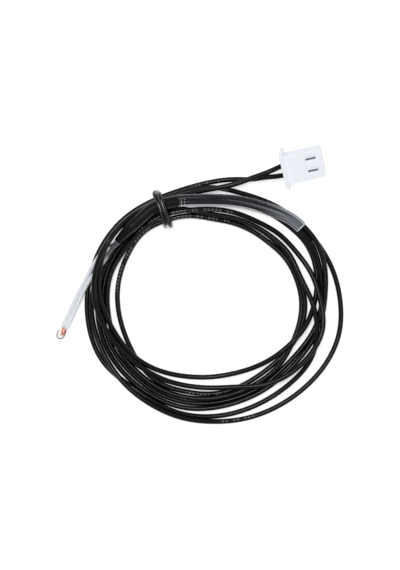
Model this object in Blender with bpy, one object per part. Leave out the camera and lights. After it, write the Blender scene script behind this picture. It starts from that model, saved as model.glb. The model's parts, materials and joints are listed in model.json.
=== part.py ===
"""Glass bead thermistor on a coiled two-wire lead with a two-way plug, in metres, +Z up."""

import math

import bmesh
import bpy
import numpy as np
from mathutils import Matrix, Vector

# Lengths below are in millimetres, and MM turns them into metres where a mesh is made.
MM = 0.001

# Lead wire, a single insulated conductor. The lead is two of them.
WIRE_DIAMETER = 1.0

# Clear tube that keeps the two wires together next to the joints.
CLEAR_TUBE_DIAMETER = 2.56
CLEAR_TUBE_WALL = 0.15

# Heat-shrink over the two joints.
SHRINK_DIAMETER = 2.36
SHRINK_WALL = 0.1
SHRINK_LENGTH = 15.2
INSULATION_IN_SHRINK = 4.0
SLEEVE_IN_SHRINK = 2.6

# Soldered joints of leg and wire.
SPLICE_DIAMETER = 0.72
SPLICE_TAPER = 0.5

# Clear sleeves on the legs.
SLEEVE_DIAMETER = 0.78
SLEEVE_BORE = 0.42

# Copper-clad legs, which part from the middle of their sleeves just before the bead, and the
# ceramic chip that they hold between them.
LEG_DIAMETER = 0.25
LEG_PARTING = 1.0
LEG_STEP = 0.6
CHIP_THICKNESS = 0.4
CHIP_WIDTH = 0.5
CHIP_LENGTH = 0.55

# Glass bead, a droplet turned about its long axis.
BEAD_DIAMETER = 1.86
BEAD_LENGTH = 2.75
BEAD_NECK_DIAMETER = 1.36
BEAD_TIP_GLASS = 0.85
BEAD_BORE = 1.12

# Ring stretched twice round the bundle. Its two turns cross at the outer end.
TIE_DIAMETER = 0.82
TIE_SPREAD = 0.92
TIE_LENGTH = 8.26
TIE_SQUARENESS = 3.2
TIE_STEPS = 112

# Plug housing. Its pitch is the distance between its two ways.
PITCH = 2.5
BODY_LENGTH = 7.5
BODY_WIDTH = 5.8
BODY_THICKNESS = 4.3
FLANGE_LENGTH = 0.9
FLANGE_WIDTH = 7.5
FLANGE_THICKNESS = 5.7
HOUSING_EDGE = 0.2
CAVITY_WIDTH = 1.75
CAVITY_HEIGHT = 2.0
MOUTH_WIDTH = 2.1
MOUTH_HEIGHT = 2.5
MOUTH_DEPTH = 1.1
FRONT_WALL = 0.5
PIN_HOLE = 1.05
WINDOW_LENGTH = 2.6
WINDOW_WIDTH = 1.3
WINDOW_DEPTH = 0.3
WINDOW_FROM_TIP = 1.0
SLOT_LENGTH = 2.1
SLOT_WIDTH = 0.45
GUIDE_LENGTH = 5.4
GUIDE_WIDTH = 0.8
GUIDE_HEIGHT = 0.4

# Crimp contacts.
CONTACT_LENGTH = 3.6
CONTACT_WIDTH = 1.45
CONTACT_HEIGHT = 1.55
CONTACT_WALL = 0.2
LANCE_LENGTH = 1.2
LANCE_WIDTH = 0.25
LANCE_HEIGHT = 0.5
STRIP_WIDTH = 0.9
CRIMP_LENGTH = 1.3
CRIMP_WALL = 0.15
CRIMP_SLIT = 50.0
WIRE_IN_CRIMP = 1.1

# Clearances.
FIT = 0.05
CHANNEL_CLEARANCE = 0.2
TIE_CLEARANCE = 0.1
CHANNEL_OPEN = 4.0
CHANNEL_TAPER = 1.0
TIE_CORE_RISE = 0.2
CORE_CORNER = 0.7
STRIP_GAP = 0.5

# How far a cutter reaches past the face that it opens.
CUT_PAST = 2.0

# Outer shape of the coil at twelve clock positions, counter-clockwise from the right:
# inner radius, outer radius, and its height at the inner and at the outer side.
COIL_SHAPE = (
    (17.85, 26.90, 3.0, 2.3),
    (16.90, 25.20, 2.1, 2.5),
    (15.85, 23.75, 1.9, 2.6),
    (16.15, 24.80, 3.1, 2.8),
    (18.45, 24.20, 3.4, 4.1),
    (19.20, 25.60, 2.8, 5.2),
    (19.00, 26.30, 2.4, 4.3),
    (18.90, 26.35, 2.4, 2.4),
    (17.05, 25.30, 2.1, 2.3),
    (15.45, 25.50, 2.4, 2.0),
    (15.80, 26.20, 2.8, 1.9),
    (17.80, 27.30, 3.0, 3.0),
)
COIL_EDGE = 0.45
COIL_STEPS = 96

# Distance between the rings of vertices along a tube.
TUBE_STEP = 1.05

# Route of the sensing end, from where the wires leave the coil, through the clear tube and
# the heat-shrink, to the fork of the two sleeves. The origin here is the coil's centre.
PROBE_ROUTE = (
    (20.45, 12.40, 2.11),
    (18.32, 14.89, 2.11),
    (16.22, 16.63, 2.11),
    (11.91, 18.48, 2.14),
    (6.78, 19.92, 2.26),
    (3.90, 20.33, 2.44),
    (-2.46, 20.43, 3.16),
    (-6.47, 20.23, 3.78),
    (-8.83, 19.82, 4.14),
    (-11.99, 18.69, 4.54),
    (-14.48, 16.63, 4.53),
    (-16.57, 14.78, 4.35),
    (-19.26, 11.99, 3.63),
)
CLEAR_TUBE_START = 3.2

# Each sleeve from the heat-shrink to the bead.
SLEEVE_A_ROUTE = (
    (-21.00, 11.35, 3.25),
    (-22.26, 10.20, 3.05),
    (-24.39, 7.49, 2.58),
    (-25.83, 4.74, 2.13),
    (-28.38, -0.18, 1.47),
)
SLEEVE_B_ROUTE = (
    (-20.39, 10.47, 3.25),
    (-21.56, 8.73, 2.99),
    (-23.31, 6.47, 2.60),
    (-25.12, 4.37, 2.16),
    (-27.66, -0.55, 1.47),
)
BEAD_CENTRE = (-31.03, -6.95)
BEAD_HEADING = 242.4

# Each wire from the coil's outer wall to the plug.
PLUG_LEAD_A_ROUTE = (
    (6.41, 24.27, 2.37),
    (7.81, 24.83, 2.63),
    (10.35, 25.55, 3.02),
    (12.40, 26.22, 3.48),
    (13.45, 26.88, 3.72),
)
PLUG_LEAD_B_ROUTE = (
    (4.82, 24.79, 1.17),
    (7.20, 24.80, 1.50),
    (8.83, 24.62, 1.79),
    (10.88, 24.60, 2.20),
    (12.70, 25.00, 2.66),
    (13.90, 25.33, 2.95),
)
PLUG_REAR = (14.41, 26.75)
PLUG_HEADING = 12.0
PLUG_ROLL = 17.0
PLUG_PITCH = 9.0

# Tie, across the bundle.
TIE_CENTRE = (-10.19, 18.66)
TIE_HEADING = 109.4

for leftover in list(bpy.data.objects):
    bpy.data.objects.remove(leftover)


def material(name, colour, roughness, metallic=0.0, transmission=0.0):
    """A plain Principled material, with its colour in linear values."""
    made = bpy.data.materials.new(name)
    made.use_nodes = True
    shader = made.node_tree.nodes["Principled BSDF"]
    shader.inputs["Base Color"].default_value = (*colour, 1.0)
    shader.inputs["Roughness"].default_value = roughness
    shader.inputs["Metallic"].default_value = metallic
    shader.inputs["Transmission Weight"].default_value = transmission
    made.diffuse_color = (*colour, 1.0)
    return made


BLACK_INSULATION = material("black_insulation", (0.012, 0.012, 0.013), 0.3)
BLACK_SHRINK = material("black_shrink", (0.02, 0.02, 0.021), 0.6)
BLACK_RUBBER = material("black_rubber", (0.01, 0.01, 0.01), 0.22)
CLEAR_SLEEVE = material("clear_sleeve", (0.78, 0.8, 0.86), 0.2, transmission=0.7)
CLEAR_TUBING = material("clear_tubing", (0.62, 0.66, 0.74), 0.25, transmission=0.8)
GLASS = material("glass", (0.9, 0.9, 0.88), 0.05, transmission=1.0)
CERAMIC = material("ceramic", (0.75, 0.62, 0.5), 0.5)
COPPER_CLAD = material("copper_clad", (0.72, 0.2, 0.09), 0.3, metallic=0.8)
SOLDER = material("solder", (0.5, 0.5, 0.52), 0.35, metallic=1.0)
TIN_PLATE = material("tin_plate", (0.42, 0.45, 0.48), 0.3, metallic=1.0)
WHITE_NYLON = material("white_nylon", (0.86, 0.87, 0.9), 0.45)

# The two empties that the pieces hang from: the whole part as it lies, and the plug's axis.
lay = bpy.data.objects.new("lay", None)
bpy.context.scene.collection.objects.link(lay)
plug_axis = bpy.data.objects.new("plug_axis", None)
bpy.context.scene.collection.objects.link(plug_axis)
plug_axis.parent = lay


def add_object(name, data, finish, parent=lay):
    """Link a new object under its parent, with one material."""
    made = bpy.data.objects.new(name, data)
    bpy.context.scene.collection.objects.link(made)
    made.parent = parent
    if finish:
        data.materials.append(finish)
    return made


def mesh_from(name, work, crease=35.0):
    """A smooth-shaded mesh from a bmesh, with edges sharper than crease kept sharp."""
    bmesh.ops.recalc_face_normals(work, faces=work.faces)
    mesh = bpy.data.meshes.new(name)
    work.to_mesh(mesh)
    work.free()
    mesh.shade_smooth()
    mesh.set_sharp_from_angle(angle=math.radians(crease))
    return mesh


def distance_along(route):
    """How far along a route each of its points is."""
    return np.concatenate([[0.0], np.cumsum(np.linalg.norm(np.diff(route, axis=0), axis=1))])


def smooth_route(points, spacing):
    """Evenly spaced points on a smooth curve through the given ones."""
    knots = np.array(points, float)
    knots = np.vstack([2 * knots[0] - knots[1], knots, 2 * knots[-1] - knots[-2]])
    dense = []
    for i in range(1, len(knots) - 2):
        before, start, end, after = knots[i - 1 : i + 3]
        for t in np.linspace(0.0, 1.0, 40, endpoint=False):
            dense.append(
                0.5
                * (
                    2 * start
                    + (end - before) * t
                    + (2 * before - 5 * start + 4 * end - after) * t**2
                    + (3 * start - before - 3 * end + after) * t**3
                )
            )
    dense.append(knots[-2])
    dense = np.array(dense)
    run = distance_along(dense)
    count = max(2, round(run[-1] / spacing) + 1)
    at = np.linspace(0, run[-1], count)
    return np.stack([np.interp(at, run, dense[:, k]) for k in range(3)], axis=1)


def cut_route(route, start, end):
    """The stretch of a route between two distances along it, with its own even spacing."""
    run = distance_along(route)
    step = run[-1] / (len(route) - 1)
    at = np.linspace(start, end, max(2, round((end - start) / step) + 1))
    return np.stack([np.interp(at, run, route[:, k]) for k in range(3)], axis=1)


def route_length(route):
    return float(distance_along(route)[-1])


def beside(route, offset):
    """The route moved sideways in plan, to its left for a positive offset."""
    ahead = np.gradient(route, axis=0)
    left = np.stack([-ahead[:, 1], ahead[:, 0], 0 * ahead[:, 0]], axis=1)
    left /= np.linalg.norm(left, axis=1)[:, None]
    return route + offset * left


def ring_frames(route):
    """A sideways and an upward unit vector at each point of a route."""
    ahead = np.gradient(route, axis=0)
    ahead /= np.linalg.norm(ahead, axis=1)[:, None]
    side = np.cross(ahead, [0.0, 0.0, 1.0])
    side /= np.linalg.norm(side, axis=1)[:, None]
    return side, np.cross(side, ahead)


def add_rings(work, route, radii, sides):
    """Rings of vertices round a route, one for each of its points."""
    side, up = ring_frames(route)
    rings = []
    for centre, right, over, radius in zip(route, side, up, radii):
        turn = [2 * math.pi * k / sides for k in range(sides)]
        ring = [centre + radius * (math.cos(a) * right + math.sin(a) * over) for a in turn]
        rings.append([work.verts.new(Vector(p) * MM) for p in ring])
    return rings


def join_rings(work, first, second):
    """A band of faces between two rings."""
    for k in range(len(first)):
        n = (k + 1) % len(first)
        work.faces.new((first[k], first[n], second[n], second[k]))


def swept_tube(name, route, outer, inner, finish, sides=16):
    """A tube along a route, open from end to end where it has an inner radius."""
    work = bmesh.new()
    outer_rings = add_rings(work, route, np.broadcast_to(outer, len(route)), sides)
    for first, second in zip(outer_rings, outer_rings[1:]):
        join_rings(work, first, second)
    if inner:
        inner_rings = add_rings(work, route, np.broadcast_to(inner, len(route)), sides)
        for first, second in zip(inner_rings, inner_rings[1:]):
            join_rings(work, second, first)
        join_rings(work, inner_rings[0], outer_rings[0])
        join_rings(work, outer_rings[-1], inner_rings[-1])
    else:
        work.faces.new(outer_rings[0])
        work.faces.new(outer_rings[-1])
    return add_object(name, mesh_from(name, work), finish)


def cord(name, route, diameter, finish):
    """A plain round cord: a poly curve with a round bevel and filled ends."""
    curve = bpy.data.curves.new(name, "CURVE")
    curve.dimensions = "3D"
    curve.bevel_depth = diameter / 2 * MM
    curve.bevel_resolution = 2
    curve.use_fill_caps = True
    spline = curve.splines.new("POLY")
    spline.points.add(len(route) - 1)
    for point, place in zip(spline.points, route):
        point.co = (*(Vector(place) * MM), 1.0)
    spline.use_smooth = True
    return add_object(name, curve, finish)


def cutter(name, mesh, parent=lay):
    """A hidden shape that another piece is cut with."""
    made = add_object(name, mesh, None, parent)
    made.hide_render = True
    made.display_type = "WIRE"
    return made


def cut(target, tool, operation="DIFFERENCE"):
    change = target.modifiers.new(f"{operation.lower()}_{tool.name}", "BOOLEAN")
    change.operation = operation
    change.solver = "EXACT"
    change.object = tool


def block(work, low, high):
    """A box between two corners, in millimetres."""
    made = bmesh.ops.create_cube(work, size=1.0)["verts"]
    low, high = Vector(low) * MM, Vector(high) * MM
    for vertex in made:
        vertex.co = Vector(
            (low[k] + (vertex.co[k] + 0.5) * (high[k] - low[k]) for k in range(3))
        )


def block_mesh(name, low, high, edge=0.0):
    """One box, with its edges rounded by edge."""
    work = bmesh.new()
    block(work, low, high)
    if edge:
        bmesh.ops.bevel(
            work, geom=list(work.edges), offset=edge * MM, segments=2, affect="EDGES", profile=0.5
        )
    return mesh_from(name, work)


# Sensing end: the clear tube, the heat-shrink, the joints and the two wires inside them.
probe = smooth_route(PROBE_ROUTE, TUBE_STEP)
probe_length = route_length(probe)
shrink_start = probe_length - SHRINK_LENGTH
tube_end = shrink_start - FIT
clear_tube = swept_tube(
    "clear_tube",
    cut_route(probe, CLEAR_TUBE_START, tube_end),
    CLEAR_TUBE_DIAMETER / 2,
    CLEAR_TUBE_DIAMETER / 2 - CLEAR_TUBE_WALL,
    CLEAR_TUBING,
)
heat_shrink = swept_tube(
    "heat_shrink",
    cut_route(probe, shrink_start, probe_length),
    SHRINK_DIAMETER / 2,
    SHRINK_DIAMETER / 2 - SHRINK_WALL,
    BLACK_SHRINK,
    24,
)
wire_offset = (WIRE_DIAMETER + FIT / 2) / 2
insulation_end = shrink_start + INSULATION_IN_SHRINK
sleeve_start = probe_length - SLEEVE_IN_SHRINK
sleeve_offset = (SLEEVE_DIAMETER + FIT) / 2
wire_stretch = cut_route(smooth_route(PROBE_ROUTE, 2 * WIRE_DIAMETER), 0.0, insulation_end)
splice_stretch = cut_route(probe, insulation_end + FIT, sleeve_start - FIT)
splice_share = np.linspace(0.0, 1.0, len(splice_stretch))[:, None]
splice_radii = np.full(len(splice_stretch), SPLICE_DIAMETER / 2)
splice_radii[[0, -1]] *= SPLICE_TAPER

# Bead: its axis runs from the sleeves to its tip.
heading = math.radians(BEAD_HEADING)
bead_axis = np.array([math.cos(heading), math.sin(heading), 0.0])
bead_left = np.array([-math.sin(heading), math.cos(heading), 0.0])
bead_centre = np.array([*BEAD_CENTRE, BEAD_DIAMETER / 2])
bead_rear = bead_centre - bead_axis * BEAD_LENGTH / 2
chip_centre = bead_centre + bead_axis * (
    BEAD_LENGTH / 2 - BEAD_TIP_GLASS - CHIP_LENGTH / 2 - FIT
)
leg_offset = (CHIP_THICKNESS + LEG_DIAMETER) / 2 + FIT / 2
leg_tip = chip_centre + bead_axis * CHIP_LENGTH / 2


def sleeve_route(points, side):
    """A sleeve's way from inside the heat-shrink to the bead's rear face."""
    inside = beside(cut_route(probe, sleeve_start, probe_length), side * sleeve_offset)
    rear = bead_rear - bead_axis * FIT + side * bead_left * sleeve_offset
    straight = rear - bead_axis * SLEEVE_DIAMETER * 2
    return smooth_route([inside[0], inside[-1], *points, straight, rear], TUBE_STEP)


# Side +1 is the left of the way from the coil to the bead, -1 its right.
for tag, side, points in (("a", -1, SLEEVE_A_ROUTE), ("b", 1, SLEEVE_B_ROUTE)):
    sleeve = sleeve_route(points, side)
    swept_tube(f"sleeve_{tag}", sleeve, SLEEVE_DIAMETER / 2, SLEEVE_BORE / 2, CLEAR_SLEEVE, 10)
    seat = bead_rear + bead_axis * 2 * LEG_DIAMETER + side * bead_left * leg_offset
    tip = leg_tip + side * bead_left * leg_offset
    in_sleeve = cut_route(sleeve, 0.0, route_length(sleeve) - LEG_PARTING)
    leg = smooth_route([*in_sleeve, seat, tip], LEG_STEP)
    cord(f"lead_wire_{tag}", leg, LEG_DIAMETER, COPPER_CLAD)
    shift = wire_offset + (sleeve_offset - wire_offset) * splice_share
    splice = splice_stretch + side * shift * (beside(splice_stretch, 1.0) - splice_stretch)
    swept_tube(f"splice_{tag}", splice, splice_radii, None, SOLDER, 12)
    cord(
        f"wire_{tag}_probe_end", beside(wire_stretch, side * wire_offset), WIRE_DIAMETER,
        BLACK_INSULATION,
    )

# Glass bead, turned from its profile of distance from the tip and radius.
bead_profile = [
    (BEAD_LENGTH * along, BEAD_DIAMETER / 2 * out)
    for along, out in (
        (0.012, 0.16), (0.05, 0.40), (0.12, 0.66), (0.21, 0.86), (0.32, 0.97), (0.42, 1.0),
        (0.55, 0.985), (0.70, 0.93), (0.84, 0.85),
    )
]
bead_profile.append((BEAD_LENGTH, BEAD_NECK_DIAMETER / 2))
bore_profile = [
    (BEAD_LENGTH, BEAD_BORE / 2),
    (BEAD_TIP_GLASS + BEAD_BORE / 4, BEAD_BORE / 2),
    (BEAD_TIP_GLASS, BEAD_BORE / 4),
]
work = bmesh.new()
rings = []
for along, radius in bead_profile + bore_profile:
    turn = [2 * math.pi * k / 28 for k in range(28)]
    rings.append(
        [
            work.verts.new(Vector((-along, radius * math.cos(a), radius * math.sin(a))) * MM)
            for a in turn
        ]
    )
for first, second in zip(rings, rings[1:]):
    join_rings(work, first, second)
tip_point = work.verts.new((0.0, 0.0, 0.0))
bore_point = work.verts.new(Vector((-BEAD_TIP_GLASS, 0.0, 0.0)) * MM)
for ring, point in ((rings[0], tip_point), (rings[-1], bore_point)):
    for k in range(len(ring)):
        work.faces.new((ring[k], ring[(k + 1) % len(ring)], point))
glass_bead = add_object("glass_bead", mesh_from("glass_bead", work), GLASS)
glass_bead.location = Vector(bead_centre + bead_axis * BEAD_LENGTH / 2) * MM
glass_bead.rotation_euler = (0.0, 0.0, heading)

chip_half = Vector((CHIP_LENGTH, CHIP_THICKNESS, CHIP_WIDTH)) / 2
chip = add_object(
    "thermistor_chip", block_mesh("thermistor_chip", -chip_half, chip_half, 0.05), CERAMIC
)
chip.location = Vector(chip_centre) * MM
chip.rotation_euler = (0.0, 0.0, heading)

# Coil: one solid of the outer shape of the turns, flat below, with softened edges.
shape = np.array([*COIL_SHAPE, COIL_SHAPE[0]])


def around(values, angle):
    """A smooth closed curve through values at evenly spaced angles."""
    count = len(values) - 1
    place = angle / (2 * math.pi) * count
    i = int(math.floor(place)) % count
    t = place - math.floor(place)
    before, start = values[(i - 1) % count], values[i]
    end, after = values[(i + 1) % count], values[(i + 2) % count]
    return 0.5 * (
        2 * start
        + (end - before) * t
        + (2 * before - 5 * start + 4 * end - after) * t**2
        + (3 * start - before - 3 * end + after) * t**3
    )


work = bmesh.new()
rings = []
for step in range(COIL_STEPS):
    angle = 2 * math.pi * step / COIL_STEPS
    inner, outer, inner_top, outer_top = around(shape, angle)
    edge = COIL_EDGE
    section = (
        (inner + edge, 0.0), (outer - edge, 0.0), (outer, edge), (outer, outer_top - edge),
        (outer - edge, outer_top), (inner + edge, inner_top), (inner, inner_top - edge),
        (inner, edge),
    )
    rings.append(
        [
            work.verts.new(Vector((r * math.cos(angle), r * math.sin(angle), z)) * MM)
            for r, z in section
        ]
    )
for first, second in zip(rings, rings[1:] + rings[:1]):
    join_rings(work, first, second)
wire_coil = add_object("wire_coil", mesh_from("wire_coil", work, 60.0), BLACK_INSULATION)

# Channel in the coil for what lies in its turns, open upwards.
fork_sides = np.array(SLEEVE_A_ROUTE), np.array(SLEEVE_B_ROUTE)
fork_route = sum(fork_sides) / 2
fork_rooms = np.linalg.norm(fork_sides[0] - fork_sides[1], axis=1) / 2
fork_rooms += SLEEVE_DIAMETER / 2 + CHANNEL_CLEARANCE
channel_route = np.vstack([probe, smooth_route([probe[-1], *fork_route], TUBE_STEP)[1:]])
channel_run = distance_along(channel_route)
channel_side, _ = ring_frames(channel_route)
tube_room = CLEAR_TUBE_DIAMETER / 2 + CHANNEL_CLEARANCE
shrink_room = SHRINK_DIAMETER / 2 + CHANNEL_CLEARANCE
fork_depth = SLEEVE_DIAMETER / 2 + CHANNEL_CLEARANCE
fork_at = [
    channel_run[np.argmin(np.linalg.norm(channel_route - point, axis=1))] for point in fork_route
]
room_at = [
    0.0, tube_end, tube_end + CHANNEL_TAPER, probe_length + CHANNEL_CLEARANCE, *fork_at
]
straight_rooms = [tube_room, tube_room, shrink_room, shrink_room]
channel_widths = np.interp(channel_run, room_at, [*straight_rooms, *fork_rooms])
channel_depths = np.interp(
    channel_run, room_at, [*straight_rooms, *[fork_depth] * len(fork_at)]
)
work = bmesh.new()
rings = []
for centre, side, width, depth in zip(
    channel_route, channel_side, channel_widths, channel_depths
):
    corner = depth / 2
    section = (
        (-width, CHANNEL_OPEN), (-width, corner - depth), (corner - width, -depth),
        (width - corner, -depth), (width, corner - depth), (width, CHANNEL_OPEN),
    )
    rings.append(
        [
            work.verts.new(Vector(centre + across * side + np.array([0, 0, up])) * MM)
            for across, up in section
        ]
    )
for first, second in zip(rings, rings[1:]):
    join_rings(work, first, second)
work.faces.new(rings[0])
work.faces.new(rings[-1])
cut(wire_coil, cutter("channel_cutter", mesh_from("channel_cutter", work)))

# Tie. Its two turns lie side by side and change places round the bundle's outer side.
tie_heading = math.radians(TIE_HEADING)
tie_run = np.array([math.cos(tie_heading), math.sin(tie_heading), 0.0])
tie_side = np.array([-tie_run[1], tie_run[0], 0.0])
tie_pitch = TIE_DIAMETER + TIE_CLEARANCE
tie_reach = (TIE_LENGTH - TIE_DIAMETER) / 2 - tie_pitch / 4
tie_nearest = channel_route[np.argmin(np.linalg.norm(channel_route[:, :2] - TIE_CENTRE, axis=1))]
tie_low = FIT + TIE_DIAMETER / 2
tie_high = tie_nearest[2] + (SHRINK_DIAMETER + TIE_DIAMETER) / 2 + TIE_CLEARANCE
tie_rise = (tie_high - tie_low) / 2


def tie_point(share):
    """A point of the tie's centreline, share being 0 to 1 along both its turns."""
    turn = 4 * math.pi * share
    across = math.cos(turn)
    up = math.sin(turn)
    across = math.copysign(abs(across) ** (2 / TIE_SQUARENESS), across)
    up = math.copysign(abs(up) ** (2 / TIE_SQUARENESS), up)
    place = min(1.0, max(0.0, (turn % (2 * math.pi) / math.pi - 0.6) / 0.8))
    twist = math.pi * place * place * (3 - 2 * place)
    if turn >= 2 * math.pi:
        twist += math.pi
    slide = TIE_SPREAD / 2 * math.cos(twist)
    stand_off = tie_pitch / 2 * math.sin(twist)
    return (
        np.array([*TIE_CENTRE, tie_low + tie_rise])
        - tie_run * (tie_pitch / 4 + (tie_reach + stand_off) * across)
        + np.array([0.0, 0.0, (tie_rise + stand_off) * up])
        + tie_side * slide
    )


tie_route = np.array([tie_point(k / TIE_STEPS) for k in range(TIE_STEPS)])
tie_ahead = np.roll(tie_route, -1, axis=0) - np.roll(tie_route, 1, axis=0)
tie_ahead /= np.linalg.norm(tie_ahead, axis=1)[:, None]
tie_over = np.cross(tie_ahead, tie_side)
tie_over /= np.linalg.norm(tie_over, axis=1)[:, None]
work = bmesh.new()
rings = []
for centre, ahead, over in zip(tie_route, tie_ahead, tie_over):
    turn = [2 * math.pi * k / 10 for k in range(10)]
    along = np.cross(over, ahead)
    ring = [centre + TIE_DIAMETER / 2 * (math.cos(a) * over + math.sin(a) * along) for a in turn]
    rings.append([work.verts.new(Vector(p) * MM) for p in ring])
for first, second in zip(rings, rings[1:] + rings[:1]):
    join_rings(work, first, second)
add_object("tie", mesh_from("tie", work), BLACK_RUBBER)

# The coil is pulled in where the tie goes round it.
waist_half = (TIE_SPREAD + TIE_DIAMETER) / 2 + TIE_CLEARANCE
core_reach = tie_reach - (tie_pitch + TIE_DIAMETER) / 2 - TIE_CLEARANCE
core_low = tie_low + TIE_DIAMETER / 2 + tie_pitch / 2 * TIE_CORE_RISE + TIE_CLEARANCE
waist_section = (
    (-core_reach, CHANNEL_OPEN + TIE_LENGTH), (-core_reach, core_low + CORE_CORNER),
    (CORE_CORNER - core_reach, core_low), (core_reach - CORE_CORNER, core_low),
    (core_reach, core_low + CORE_CORNER), (core_reach, CHANNEL_OPEN + TIE_LENGTH),
    (core_reach + TIE_LENGTH, CHANNEL_OPEN + TIE_LENGTH), (core_reach + TIE_LENGTH, -TIE_LENGTH),
    (-core_reach - TIE_LENGTH, -TIE_LENGTH),
    (-core_reach - TIE_LENGTH, CHANNEL_OPEN + TIE_LENGTH),
)
work = bmesh.new()
rings = []
for along in (-waist_half, waist_half):
    middle = np.array([*TIE_CENTRE, 0.0]) - tie_run * tie_pitch / 4 + tie_side * along
    rings.append(
        [
            work.verts.new(Vector(middle - tie_run * across + np.array([0.0, 0.0, up])) * MM)
            for across, up in waist_section
        ]
    )
    work.faces.new(rings[-1])
join_rings(work, rings[0], rings[1])
cut(wire_coil, cutter("waist_cutter", mesh_from("waist_cutter", work)))

# Plug: its own frame has x along it from the wires' side, y to its left and z out of the face
# with the windows. It lies on one edge of its flange.
plug_axis.rotation_euler = (
    Matrix.Rotation(math.radians(PLUG_HEADING), 3, "Z")
    @ Matrix.Rotation(-math.radians(PLUG_PITCH), 3, "Y")
    @ Matrix.Rotation(math.radians(PLUG_ROLL), 3, "X")
).to_euler()
plug_turn = plug_axis.rotation_euler.to_matrix()
plug_corners = [
    plug_turn @ Vector((0.0, y * FLANGE_WIDTH / 2, z * FLANGE_THICKNESS / 2))
    for y in (-1, 1)
    for z in (-1, 1)
]
plug_rear = Vector((*PLUG_REAR, FIT - min(corner.z for corner in plug_corners)))
plug_axis.location = plug_rear * MM
tip = FLANGE_LENGTH + BODY_LENGTH

flange_half = (FLANGE_WIDTH / 2, FLANGE_THICKNESS / 2)
flange = block_mesh(
    "flange",
    (0.0, -flange_half[0], -flange_half[1]),
    (FLANGE_LENGTH, *flange_half),
    HOUSING_EDGE,
)
connector_housing = add_object("connector_housing", flange, WHITE_NYLON, plug_axis)
body_half = (BODY_WIDTH / 2, BODY_THICKNESS / 2)
body = block_mesh(
    "housing_body",
    (FLANGE_LENGTH / 2, -body_half[0], -body_half[1]),
    (tip, *body_half),
    HOUSING_EDGE,
)
cut(connector_housing, cutter("housing_body", body, plug_axis), "UNION")


def pair_of_blocks(name, start, end, width, low, high, spacing=PITCH):
    """Two like boxes, one for each way of the plug."""
    work = bmesh.new()
    for y in (-spacing / 2, spacing / 2):
        block(work, (start, y - width / 2, low), (end, y + width / 2, high))
    return cutter(name, mesh_from(name, work), plug_axis)


guide_top = -BODY_THICKNESS / 2
guide_spacing = BODY_WIDTH - GUIDE_WIDTH - HOUSING_EDGE * 4
guides = pair_of_blocks(
    "guide_ribs", FLANGE_LENGTH / 2, FLANGE_LENGTH + GUIDE_LENGTH, GUIDE_WIDTH,
    guide_top - GUIDE_HEIGHT, guide_top + GUIDE_HEIGHT, guide_spacing,
)
cut(connector_housing, guides, "UNION")
cavity_half = CAVITY_HEIGHT / 2
front = tip - FRONT_WALL
top = BODY_THICKNESS / 2
window_end = tip - WINDOW_FROM_TIP
window_middle = window_end - WINDOW_LENGTH / 2
for name, start, end, width, low, high in (
    ("mouths", -CUT_PAST / 2, MOUTH_DEPTH, MOUTH_WIDTH, -MOUTH_HEIGHT / 2, MOUTH_HEIGHT / 2),
    ("cavities", -CUT_PAST, front, CAVITY_WIDTH, -cavity_half, cavity_half),
    (
        "pin_holes", front - CUT_PAST / 2, tip + CUT_PAST / 2,
        PIN_HOLE, -PIN_HOLE / 2, PIN_HOLE / 2,
    ),
    (
        "windows", window_end - WINDOW_LENGTH, window_end,
        WINDOW_WIDTH, top - WINDOW_DEPTH, top + CUT_PAST / 2,
    ),
    (
        "lance_slots", window_middle - SLOT_LENGTH / 2, window_middle + SLOT_LENGTH / 2,
        SLOT_WIDTH, 0.0, top + CUT_PAST,
    ),
):
    cut(connector_housing, pair_of_blocks(name, start, end, width, low, high))

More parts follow.
